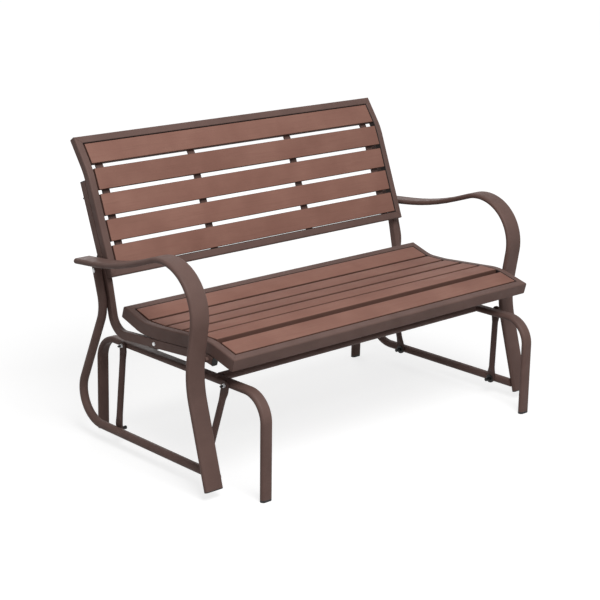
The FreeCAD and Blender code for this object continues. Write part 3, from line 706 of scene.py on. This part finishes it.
class BenchSizes(bpy.types.PropertyGroup):
    """Sizes of the pieces that are drawn again with their real roundings."""
    rail_face: length("Rail face", "Width of the panel rails seen from the front", 0.024)
    seat_rail_depth: length("Seat rail depth", "Depth of the seat's rails", 0.0381)
    back_rail_depth: length("Back rail depth", "Depth of the back's rails", 0.0254)
    rail_rounding: length("Rail rounding", "Radius of the rails' long edges", 0.0048)
    mitre_gap: length("Mitre gap", "Fine seam left at each welded corner of a panel", 0.0003)
    board_rounding: length("Board rounding", "Radius of the boards' long edges", 0.0019)
    board_end_gap: length("Board end gap", "Extra room left at each end of a board for it to swell", 0.002)
    arm_width: length("Armrest width", "Width of the armrest tube", 0.06)
    arm_thickness: length("Armrest thickness", "Thickness of the armrest tube", 0.016)
    loop_diameter: length("Loop tube diameter", "Diameter of the round tubes beside the seat", 0.0254)
    support_width: length("Support width", "Width of the tubes under the seat and behind the back", 0.019)
    support_depth: length("Support depth", "Depth of the tubes under the seat and behind the back", 0.0254)
    support_rounding: length("Support rounding", "Radius of the support tubes' long edges", 0.004)
    cross_width: length("Cross tube width", "Width of the square tubes across under the seat", 0.0254)
    cross_rounding: length("Cross tube rounding", "Radius of the square tubes' long edges", 0.0034)
    arch_width: length("Arch width", "Width of the standing base's tube", 0.036)
    arch_depth: length("Arch depth", "Depth of the standing base's tube", 0.018)
    link_diameter: length("Link diameter", "Diameter of a link's round part", 0.019)
    link_head: length("Link head", "Width of a link's flat ends", 0.028)
    link_flat: length("Link flat", "Thickness of a link's flat ends", 0.0064)
    cap_thickness: length("Cap thickness", "Thickness of the plastic caps on the tubes' ends", 0.003)


class BenchColours(bpy.types.PropertyGroup):
    """Colours of the finishes."""
    frame: colour("Frame", "Powder coat on the tubes", "#634D47")
    links: colour("Links", "Powder coat on the links", "#503D38")
    board: colour("Boards", "Resin boards", "#896156")
    board_dark: colour("Boards, dark", "Darker drifts in the boards", "#815B4F")
    board_light: colour("Boards, light", "Lighter drifts in the boards", "#90695C")
    caps: colour("Caps", "Plastic end caps", "#121111")
    bushes: colour("Bushes", "Bushes in the links", "#1F1E1E")
    zinc: colour("Zinc", "Bolts, nuts and screws", "#E1E2E3")
    pivots: colour("Pivots", "Blackened pivot hardware", "#161414")


class PieceMaker:
    """What every operator here shares."""
    bl_options = {"REGISTER", "UNDO"}


class BENCH_OT_finishes(PieceMaker, bpy.types.Operator):
    """Make the finishes from the chosen colours"""
    bl_idname = "bench.finishes"
    bl_label = "Finishes"

    def execute(self, context):
        chosen = context.scene.bench_colours
        shades = {key: [*getattr(chosen, key), 1] for key in BenchColours.__annotations__}
        boards = (shades[key] for key in ("board", "board_dark", "board_light"))
        finishes.update(
            frame_bronze=powder_coat("powder_coat_bronze", shades["frame"], roughness=0.6),
            link_bronze=powder_coat("powder_coat_bronze_links", shades["links"], roughness=0.6),
            slat_resin=resin_board("resin_lumber_redwood", *boards),
            black_plastic=moulded_plastic("moulded_black_polypropylene", shades["caps"], 0.5, grain=0.0012),
            bush_nylon=moulded_plastic("moulded_nylon", shades["bushes"], 0.42, grain=0.002),
            zinc=plated_steel("bright_zinc_plate", shades["zinc"], roughness=0.3),
            dark_steel=blackened_steel("black_oxide_steel", shades["pivots"], roughness=0.42))
        return {"FINISHED"}


class BENCH_OT_panels(PieceMaker, bpy.types.Operator):
    """Draw the mitred rails of the seat and the back"""
    bl_idname = "bench.panels"
    bl_label = "Seat and back rails"

    def execute(self, context):
        s = context.scene.bench_sizes
        panels = (("seat", SEAT_OUTLINE, SEAT_BENDS, s.seat_rail_depth, ("front", "rear")),
                  ("back", BACK_OUTLINE, BACK_BENDS, s.back_rail_depth, ("bottom", "top")))
        for panel, outline, bends, depth, end_names in panels:
            middle, middle_bends = offset(outline, bends, -depth / MM / 2)
            section = rounded_section(s.rail_face, depth, s.rail_rounding)
            for side, sign in SIDES.items():
                stations = bent_path(middle, middle_bends, sign * (panel_half - s.rail_face / 2) / MM)
                mitres = []
                for (spot, heading), way in ((stations[0], 1), (stations[-1], -1)):
                    corner = Vector((sign * panel_half, spot.y, spot.z)) + heading * (way * s.mitre_gap)
                    mitres.append((corner, (ACROSS * sign + heading * way).normalized()))
                self.rail("%s_side_rail_%s" % (panel, side), stations, section, ACROSS, mitres, -sign)
            for index, end_name in ((0, end_names[0]), (-1, end_names[1])):
                spot, heading = bent_path(middle, middle_bends, 0)[index]
                outward = heading * (-1 if index == 0 else 1)
                centre = spot - outward * (s.rail_face / 2)
                stations = [(centre + ACROSS * (end * panel_half), ACROSS) for end in (-1, 1)]
                corner = panel_half - s.mitre_gap
                mitres = [(spot + ACROSS * end * corner, (outward - ACROSS * end).normalized())
                          for end in (-1, 1)]
                self.rail("%s_%s_rail" % (panel, end_name), stations, section, outward, mitres, -1)
        return {"FINISHED"}

    def rail(self, node, stations, section, side, mitres, inward):
        """A rail whose points are marked by how far they face the boards, which lie inward along side, so that the
        material paints shade on those faces.
        """
        mesh = tube_mesh(stations, section, side, *mitres)
        # how far each point faces the boards, which the powder coat turns into painted shade
        shares = [max(0, out_a * inward) for _, _, out_a, _ in section]
        mesh.attributes.new("recess", "FLOAT", "POINT")
        mesh.attributes["recess"].data.foreach_set("value", shares * len(stations))
        dress(node + "_tube", mesh, "bench", "frame_bronze", node)


class BENCH_OT_boards(PieceMaker, bpy.types.Operator):
    """Lay the boards of the seat and the back"""
    bl_idname = "bench.boards"
    bl_label = "Boards"

    def execute(self, context):
        s = context.scene.bench_sizes
        tree = board_tree()
        ends_share = 0.8  # how round a board's ends are beside its long edges
        for panel in ("seat", "back"):
            members = sorted(node for node in nodes if node.startswith(panel + "_slat_"))
            sites, spans = [], []
            for node in members:
                corners = [Vector((0, v.co.y, v.co.z)) for v in nodes[node].data.vertices]
                low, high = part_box(node)
                middle, along = long_axis(corners)
                along = along if along.y + along.z > 0 else -along
                through = ACROSS.cross(along)
                turn = Matrix((ACROSS, along, through)).transposed().to_quaternion()
                sites.append(((low + high) / 2, turn))
                across_board = (max((c - middle).dot(way) for c in corners) * 2 for way in (along, through))
                spans.append((high.x - low.x, *across_board))
            span = [min(column) for column in zip(*spans)]
            lengths = {"Length": span[0] - 2 * s.board_end_gap, "Width": span[1], "Thickness": span[2],
                       "Edge rounding": s.board_rounding}
            repeat(panel + "_boards", tree, sites, lengths, "bench", "slat_resin", *members,
                   end_rounding=s.board_rounding * ends_share)
        return {"FINISHED"}


def cross_tube(node, body, section, side, short=0):
    """A straight tube between the ends of a CAD node, which may be made a little short."""
    low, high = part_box(node)
    middle = (low + high) / 2
    stations = [(Vector((x, middle.y, middle.z)), ACROSS) for x in (low.x + short, high.x - short)]
    dress(node + "_tube", tube_mesh(stations, section, side), body, "frame_bronze", node)


def cap_mesh(end, outward, section, thickness, rounding):
    return tube_mesh(eased_end([(end, outward), (end + outward * thickness, outward)], rounding), section)


class BENCH_OT_supports(PieceMaker, bpy.types.Operator):
    """Draw the tubes under the seat and behind the back, with their caps and the cross tubes"""
    bl_idname = "bench.supports"
    bl_label = "Support tubes"

    def execute(self, context):
        s = context.scene.bench_sizes
        straight_nose = 1.5  # millimetres before the first bend
        rounding, clearance = 0.0012, 5e-5
        under = s.seat_rail_depth / MM + SUPPORT_GAP + s.support_depth / MM / 2
        behind = s.back_rail_depth / MM + SUPPORT_GAP + s.support_depth / MM / 2
        nose, nose_bends = offset(SEAT_OUTLINE[:3], SEAT_BENDS[:1], -under)
        level = shifted(SEAT_OUTLINE[1], SEAT_OUTLINE[2], -under)
        upright = shifted(BACK_OUTLINE[0], BACK_OUTLINE[1], -behind)
        reach = nose_bends[0] * math.tan(abs(turn_between(*nose)) / 2) + straight_nose
        along = unit(nose[1], nose[0])
        start = (nose[1][0] + along[0] * reach, nose[1][1] + along[1] * reach)
        outline = [start, nose[1], on_line(*level, 0, SUPPORT_TURN_BACK), on_line(*upright, 1, SUPPORT_RISE),
                   on_line(*upright, 1, SUPPORT_TOP)]
        section = rounded_section(s.support_width, s.support_depth, s.support_rounding)
        caps = []
        for side, sign in SIDES.items():
            x = sign * (panel_half - s.support_width / 2)
            stations = bent_path(outline, nose_bends + SUPPORT_BENDS, x / MM)
            dress("support_tube_%s_tube" % side, tube_mesh(stations, section), "bench", "frame_bronze",
                  "support_tube_" + side)
            for (end, heading), way in ((stations[0], -1), (stations[-1], 1)):
                caps.append(cap_mesh(end, heading * way, section, s.cap_thickness, rounding))
        name = "support_tube_end_caps"
        dress(name, join_meshes(name, caps), "bench", "black_plastic", "support_tube_caps")
        square = rounded_section(s.cross_width, s.cross_width, s.cross_rounding)
        for end in ("front", "rear"):
            cross_tube("seat_cross_tube_" + end, "bench", square, heading_of(unit(*level)), clearance)
        return {"FINISHED"}


class BENCH_OT_armrests(PieceMaker, bpy.types.Operator):
    """Draw the armrests with their front legs and foot caps"""
    bl_idname = "bench.armrests"
    bl_label = "Armrests"

    def execute(self, context):
        s = context.scene.bench_sizes
        end_rounding, cap_rounding, bend_step = 0.004, 0.0013, math.radians(2.5)
        section = rounded_section(s.arm_width, s.arm_thickness, s.arm_thickness / 2, steps=8)
        for side in SIDES:
            low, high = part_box("arm_tube_" + side)
            stations = bent_path(ARM_OUTLINE, ARM_BENDS, (low.x + high.x) / 2 / MM, step=bend_step)
            mesh = tube_mesh(eased_end(stations, end_rounding, at_start=True, steps=5), section)
            dress("armrest_%s_tube" % side, mesh, "bench", "frame_bronze", "arm_tube_" + side)
            cap = cap_mesh(*stations[-1], section, s.cap_thickness, cap_rounding)
            dress("front_leg_%s_cap" % side, cap, "bench", "black_plastic", "leg_cap_" + side)
        return {"FINISHED"}


class BENCH_OT_loops(PieceMaker, bpy.types.Operator):
    """Draw the round tubes that join the armrests' rear ends to the front legs"""
    bl_idname = "bench.loops"
    bl_label = "Loop tubes"

    def execute(self, context):
        s = context.scene.bench_sizes
        section = round_section(s.loop_diameter)
        thick = s.arm_thickness / MM / 2
        for side, sign in SIDES.items():
            x = sign * (panel_half + s.loop_diameter / 2) / MM
            stations = bent_path(LOOP_OUTLINE, LOOP_BENDS, x, step=math.radians(3))
            faces = [run_face(*run, thick, x) for run in (ARM_OUTLINE[:2], ARM_OUTLINE[-2:])]
            mesh = tube_mesh(stations, section, ACROSS, *faces)
            dress("loop_tube_%s_tube" % side, mesh, "bench", "frame_bronze", "loop_tube_" + side)
        return {"FINISHED"}


class BENCH_OT_base(PieceMaker, bpy.types.Operator):
    """Draw the standing base: two arches, their feet and the cross tubes"""
    bl_idname = "bench.base"
    bl_label = "Standing base"

    def execute(self, context):
        s = context.scene.bench_sizes
        section = rounded_section(s.arch_width, s.arch_depth, s.arch_depth / 2, steps=8)
        floor = (Vector((0, 0, 0)), UP)
        for side in SIDES:
            low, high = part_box("base_frame_" + side)
            stations = bent_path(ARCH_OUTLINE, ARCH_BENDS, (low.x + high.x) / 2 / MM, step=math.radians(3))
            dress("base_arch_%s_tube" % side, tube_mesh(stations, section), "base", "frame_bronze",
                  "base_frame_" + side)
            for (end, heading), way, name in ((stations[0], -1, "rear"), (stations[-1], 1, "front")):
                outward = heading * way
                tip = end + outward * (end.z / -outward.z)
                mesh = tube_mesh([(end, outward), (tip, outward)], section, ACROSS, None, floor)
                corner = "%s_%s" % (name, side)
                dress("foot_" + corner, mesh, "base", "black_plastic", "foot_cap_" + corner)
        for end in ("front", "rear"):
            cross_tube("base_cross_tube_" + end, "base", section, AFT)
        return {"FINISHED"}


def link_mesh(pivots, s):
    """A round tube pressed flat at both ends, with a round head and a hole at each pivot."""
    (upper, _), (lower, _) = pivots
    flat, flare, edge, steps, near_pivot, cutter_reach = 0.017, 0.028, 0.0012, 6, 0.008, 0.01
    head_angles = (14, 24, 36, 50, 65, 80)
    head, half_flat, half_tube = s.link_head / 2, s.link_flat / 2, s.link_diameter / 2
    drop = Vector((0, lower.y - upper.y, lower.z - upper.z))
    total = drop.length
    along = drop / total
    beside = along.cross(ACROSS)
    reaches = [-head * math.cos(math.radians(angle)) for angle in head_angles]
    reaches += [0, near_pivot, flat] + [flat + flare * k / 8 for k in range(1, 9)]
    reaches += [total / 2] + [total - r for r in reversed(reaches)]
    vertices = []
    for reach in reaches:
        near = min(reach, total - reach)
        share = min(max((near - flat) / flare, 0), 1)
        share = share * share * (3 - 2 * share)
        wide = head + (half_tube - head) * share
        if near < 0:
            tip = half_flat * 1.02  # no narrower than it is thick
            wide = max(math.sqrt(max(head * head - near * near, 0)), tip)
        thick = half_flat + (half_tube - half_flat) * share
        lean = min(max((reach - flat) / (total - 2 * flat), 0), 1)
        centre = upper + ACROSS * ((lower.x - upper.x) * lean) + along * reach
        rounding = min(edge + (half_tube - edge) * share, thick)
        for a, b, *_ in rounded_section(2 * wide, 2 * thick, rounding, steps):
            vertices.append(centre + beside * a + ACROSS * b)
    mesh = bpy.data.meshes.new("link")
    mesh.from_pydata(vertices, [], closed_faces(len(reaches), 4 * (steps + 1)))
    piece = in_scene("link", mesh)
    cutters = []
    for spot, radius in pivots:
        ends = [(spot + ACROSS * (way * cutter_reach), ACROSS) for way in (-1, 1)]
        cutters.append(in_scene("hole", tube_mesh(ends, round_section(2 * radius, FINE), AFT)))
        cut = piece.modifiers.new("Hole", "BOOLEAN")
        cut.operation, cut.object, cut.solver = "DIFFERENCE", cutters[-1], "EXACT"
    result = evaluated_mesh(piece)
    for cutter in cutters:
        bpy.data.objects.remove(cutter)
    result.polygons.foreach_set("use_smooth", [True] * len(result.polygons))
    result.set_sharp_from_angle(angle=math.radians(35))
    return result


class BENCH_OT_links(PieceMaker, bpy.types.Operator):
    """Draw the four hanging links with their bushes"""
    bl_idname = "bench.links"
    bl_label = "Links"

    def execute(self, context):
        s = context.scene.bench_sizes
        tree = ring_tree()
        bush_radii, play, bush_length = (0.006, 0.01), 5e-5, 0.0066
        stud_bore, rear_bore = 0.00405, 0.0074
        for corner in ("front_left", "front_right", "rear_left", "rear_right"):
            body = corner + "_link"
            middles = [extent(points)[2] for points in islands(body + "_bushes")]
            upper, lower = sorted(middles, key=lambda middle: -middle.z)
            holes = [(spot, radius + play) for spot, radius in zip((upper, lower), bush_radii)]
            dress(body + "_tube", link_mesh(holes, s), body, "link_bronze", body)
            lower_bore = stud_bore if corner.startswith("front") else rear_bore
            bushes = (("upper", upper, bush_radii[0], stud_bore, [body + "_bushes"]),
                      ("lower", lower, bush_radii[1], lower_bore, []))
            for name, spot, outside, bore, replaced in bushes:
                lengths = {"Outside radius": outside, "Bore radius": bore, "Length": bush_length}
                repeat("%s_%s_bush" % (corner, name), tree, [(spot, facing(ACROSS))], lengths, body,
                       "bush_nylon", *replaced)
        return {"FINISHED"}


class BENCH_OT_fasteners(PieceMaker, bpy.types.Operator):
    """Fit the bolts, nuts, screws and pivot caps"""
    bl_idname = "bench.fasteners"
    bl_label = "Fasteners"

    def execute(self, context):
        hexagons, rounds, threads = hexagon_tree(), round_head_tree(), thread_tree()
        self.bolts(hexagons, rounds, threads)
        stud_end = {"Shoulder radius": 0.004, "Shoulder": 0.0071, "Thread radius": 0.0032, "Thread": 0.0134}
        nut = {"Height": 0.0036, "Chamfer": 0.0007, "Flange": 0.0007, "Shank radius": 0.003, "Shank": 0.0005}
        pivot_nut = {"Corner radius": 0.0058, "Flange radius": 0.006, **nut}
        frame_nut = {"Corner radius": 0.0073, "Flange radius": 0.0075, **nut}
        screw = {"Corner radius": 0.0039, "Height": 0.0015, "Chamfer": 0.0005, "Flange radius": 0.0048,
                 "Flange": 0.0005, "Shank radius": 0.0019, "Shank": 0.005}
        cap = {"Flange radius": 0.013, "Flange": 0.0018, "Knob radius": 0.0055, "Knob": 0.0173,
               "Shank radius": 0.0039, "Shank": 0.003}
        for name, tree, node, way, lengths, body, finish in (
                ("top_pivot_stud_threads", threads, "top_pivot_studs", 1, stud_end, "base", "dark_steel"),
                ("top_pivot_nuts_hexagons", hexagons, "top_pivot_nuts", 1, pivot_nut, "base", "zinc"),
                ("frame_nuts_hexagons", hexagons, "frame_nuts", -1, frame_nut, "bench", "zinc"),
                ("base_cross_screw_heads", hexagons, "base_cross_screws", None, screw, "base", "zinc"),
                ("bottom_pivot_cap_knobs", rounds, "bottom_pivot_caps", -1, cap, "bench", "dark_steel")):
            sites = sites_across(node, way) if way else self.screw_sites(node)
            repeat(name, tree, sites, lengths, body, finish, node)
        return {"FINISHED"}

    def bolts(self, hexagons, rounds, threads):
        """The frame's bolts, a piece for each length. The shortest, in the cross tubes, have round heads."""
        hexagon = {"Corner radius": 0.0056, "Height": 0.0026, "Chamfer": 0.0007, "Flange radius": 0.0066,
                   "Flange": 0.0007}
        dome = {"Flange radius": 0.0058, "Flange": 0.0007, "Knob radius": 0.0053, "Knob": 0.0017}
        thread = {"Shoulder radius": 0.0028, "Shoulder": 0.0045, "Thread radius": 0.0029, "Thread": 0.008}
        by_reach = {}
        for points in islands("frame_bolts"):
            tip, direction, reach = head_of(points)
            by_reach.setdefault(round(reach, 4), []).append((tip - direction * HEAD, direction))
        for number, (reach, heads) in enumerate(sorted(by_reach.items()), 1):
            sites = [(seat, facing(direction)) for seat, direction in heads]
            shank = {"Shank radius": 0.0029, "Shank": reach - HEAD}
            name = "frame_bolts_%d" % number
            if number == 1:
                repeat(name, rounds, sites, {**dome, **shank}, "bench", "zinc", "frame_bolts")
                continue
            repeat(name, hexagons, sites, {**hexagon, **shank}, "bench", "zinc")
            if abs(heads[0][1].y) > 0.5:  # those through the back point fore and aft
                repeat("back_bolt_threads", threads, sites, thread, "bench", "dark_steel")

    def screw_sites(self, node):
        """Where the heads of the screws up into the base's cross tubes begin, and the way that they face."""
        head_height = 0.0026
        return [(far_face(points, -UP) + UP * head_height, facing(-UP)) for points in islands(node)]


class BENCH_OT_kept(PieceMaker, bpy.types.Operator):
    """Give the CAD pieces that stay as they are their finishes"""
    bl_idname = "bench.kept"
    bl_label = "Pieces kept from the frame"

    def execute(self, context):
        slots = {row["node"]: row["material_slot"] for row in frame["record"]["subparts"]}
        for node, piece in nodes.items():
            if piece.hide_render:
                continue
            piece.data.materials.clear()
            piece.data.materials.append(finishes[slots.get(node, "frame_bronze")])
        return {"FINISHED"}


def seen(tree):
    """One for what the camera sees, itself or in gloss or glass, and nought for light on things."""
    rays = add(tree, "ShaderNodeLightPath").node.outputs
    either = add(tree, "ShaderNodeMath", rays["Is Camera Ray"], rays["Is Glossy Ray"], operation="MAXIMUM")
    return add(tree, "ShaderNodeMath", either, rays["Is Transmission Ray"], operation="MAXIMUM")


class BENCH_OT_stage(PieceMaker, bpy.types.Operator):
    """Set the floor, the lamps and the camera"""
    bl_idname = "bench.stage"
    bl_label = "Studio"

    def execute(self, context):
        self.floor()
        self.world()
        self.lamps()
        self.camera()
        context.scene.view_settings.view_transform = "Standard"
        return {"FINISHED"}

    def floor(self):
        """A matt pale floor that lights the bench a little from below and looks nearly white."""
        reach, drop, paleness = 40, 0.0004, 0.36
        near, far, near_glow, far_glow = 0.9, 4.5, 0.76, 0.92
        mesh = bpy.data.meshes.new("floor")
        corners = [(-reach, -reach, 0), (reach, -reach, 0), (reach, reach, 0), (-reach, reach, 0)]
        mesh.from_pydata(corners, [], [(0, 1, 2, 3)])
        floor = in_scene("studio_floor", mesh)
        floor.location.z = -drop
        material, tree, spot = new_material("matte_white_floor")
        distance = add(tree, "ShaderNodeVectorMath", spot, operation="LENGTH")
        glow_level = add(tree, "ShaderNodeMapRange", distance, near, far, near_glow, far_glow)
        lift = add(tree, "ShaderNodeMath", seen(tree), glow_level, operation="MULTIPLY")
        matte = add(tree, "ShaderNodeBsdfDiffuse", (paleness, paleness, paleness, 1))
        glow = add(tree, "ShaderNodeEmission", WHITE, lift)
        add(tree, "ShaderNodeOutputMaterial", add(tree, "ShaderNodeAddShader", matte, glow))
        mesh.materials.append(material)

    def world(self):
        """A dim white room that the camera sees as plain white."""
        world = bpy.data.worlds.new("studio")
        bpy.context.scene.world = world
        world.use_nodes = True
        tree = world.node_tree
        tree.nodes.clear()
        room, white = (add(tree, "ShaderNodeBackground", WHITE, strength) for strength in (0.28, 1.0))
        add(tree, "ShaderNodeOutputWorld", add(tree, "ShaderNodeMixShader", seen(tree), room, white))

    def lamps(self):
        """A soft key lamp high in front, a little to the left, and a weaker one behind on the right."""
        target = Vector((0, 0, 0.4))
        lamps = (("key", (-1.1, -2.5, 3.6), 2.2, 147), ("rear", (1.8, 3.2, 1.9), 2.0, 24))
        for name, spot, size, power in lamps:
            data = bpy.data.lights.new(name, "AREA")
            data.shape, data.size, data.energy = "SQUARE", size, power
            lamp = in_scene("lamp_" + name, data)
            lamp.location = spot
            lamp.rotation_euler = (target - Vector(spot)).to_track_quat("-Z", "Y").to_euler()

    def camera(self):
        """The photograph's viewing angle, solved from the frames, armrests and base in it."""
        data = bpy.data.cameras.new("camera")
        data.sensor_width, data.lens = 36, 94.758
        camera = in_scene("camera", data)
        yaw, pitch, roll = -0.73182, 0.27869, 0.00562
        spot = Vector((-3.0736, -3.0269 + front_edge, 1.6792))
        aim = Matrix.Rotation(yaw, 4, "Z") @ Matrix.Rotation(math.pi / 2 - pitch, 4, "X")
        camera.matrix_world = Matrix.Translation(spot) @ aim @ Matrix.Rotation(roll, 4, "Z")
        bpy.context.scene.camera = camera


class BENCH_PT_panel(bpy.types.Panel):
    """Lists the sizes, the colours and the makers"""
    bl_idname = "BENCH_PT_panel"
    bl_label = "Glider bench"
    bl_space_type = "VIEW_3D"
    bl_region_type = "UI"
    bl_category = "Glider bench"

    def draw(self, context):
        for group in (context.scene.bench_sizes, context.scene.bench_colours):
            box = self.layout.box()
            for key in type(group).__annotations__:
                box.prop(group, key)
        for maker in MAKERS:
            self.layout.operator(maker.bl_idname)


MAKERS = (BENCH_OT_finishes, BENCH_OT_panels, BENCH_OT_boards, BENCH_OT_supports, BENCH_OT_armrests,
          BENCH_OT_loops, BENCH_OT_base, BENCH_OT_links, BENCH_OT_fasteners, BENCH_OT_kept, BENCH_OT_stage)
CLASSES = (BenchSizes, BenchColours, *MAKERS, BENCH_PT_panel)


def register():
    for item in CLASSES:
        bpy.utils.register_class(item)
    bpy.types.Scene.bench_sizes = bpy.props.PointerProperty(type=BenchSizes)
    bpy.types.Scene.bench_colours = bpy.props.PointerProperty(type=BenchColours)


def unregister():
    del bpy.types.Scene.bench_colours
    del bpy.types.Scene.bench_sizes
    for item in reversed(CLASSES):
        bpy.utils.unregister_class(item)


def main():
    register()
    for maker in MAKERS:
        group, name = maker.bl_idname.split(".")
        getattr(getattr(bpy.ops, group), name)()


if __name__ == "__main__":
    main()
